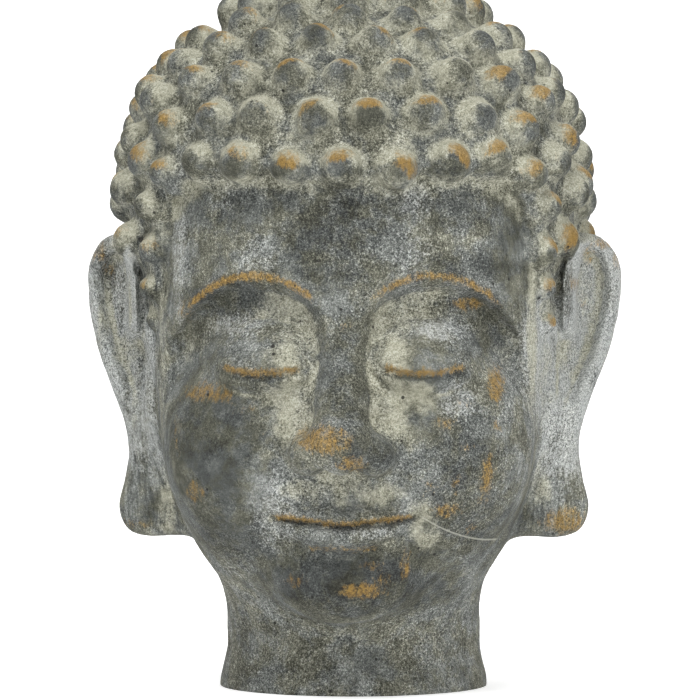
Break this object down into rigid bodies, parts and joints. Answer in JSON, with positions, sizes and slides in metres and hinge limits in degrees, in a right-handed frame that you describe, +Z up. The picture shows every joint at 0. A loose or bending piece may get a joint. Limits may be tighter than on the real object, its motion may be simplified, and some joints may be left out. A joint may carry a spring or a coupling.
{
  "type": "buddha head figurine",
  "caption": "Cast cement head of a Buddha with closed eyes, rows of snail-shell curls, a topknot and long ears, cut flat below the neck to stand on a shelf or in a garden.",
  "frame": {"origin": "middle of the flat underside of the neck", "axes": "+Z up along the neck, -Y the way the face looks, +X towards the figure's left ear"},
  "size_m": [0.2213, 0.2322, 0.3371],
  "materials": {
    "cement": "weathered, matt, with pale lime in the hollows and ochre on the ridges"
  },
  "bodies": {
    "root": {"buddha_head": "cement"}
  },
  "joints": []
}
